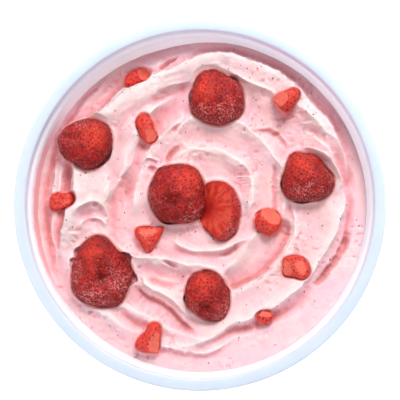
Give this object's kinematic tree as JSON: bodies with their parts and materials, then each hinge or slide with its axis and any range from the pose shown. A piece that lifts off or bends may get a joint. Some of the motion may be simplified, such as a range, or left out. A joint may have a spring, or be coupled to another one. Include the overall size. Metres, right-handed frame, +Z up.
{
  "type": "ice cream tub",
  "caption": "Open round plastic tub of swirled strawberry ice cream, topped with whole, halved and diced frozen strawberries.",
  "frame": {"origin": "middle of the circle that the tub's foot ring stands on", "axes": "+Z up out of the tub's mouth, +Y towards the far side of the picture's view, +X to its right"},
  "size_m": [0.118, 0.118, 0.074],
  "materials": {
    "tub_plastic": "smooth bluish white moulded polypropylene",
    "ice_cream": "soft pale pink strawberry ice cream with fine specks",
    "strawberry_skin": "frosted dark red strawberry skin with seeds",
    "strawberry_flesh": "bright red cut strawberry, part skin and part flesh"
  },
  "bodies": {
    "root": {"tub": "tub_plastic", "ice_cream": "ice_cream", "strawberry_left": "strawberry_skin", "strawberry_top": "strawberry_skin", "strawberry_middle": "strawberry_skin", "strawberry_half": "strawberry_flesh", "strawberry_right": "strawberry_skin", "strawberry_lower_left": "strawberry_skin", "strawberry_bottom": "strawberry_skin", "dice_top_left": "strawberry_flesh", "dice_upper": "strawberry_flesh", "dice_left": "strawberry_flesh", "dice_middle": "strawberry_flesh", "dice_upper_right": "strawberry_flesh", "dice_right": "strawberry_flesh", "dice_lower_right": "strawberry_flesh", "dice_small": "strawberry_flesh", "dice_bottom": "strawberry_flesh"}
  },
  "joints": []
}
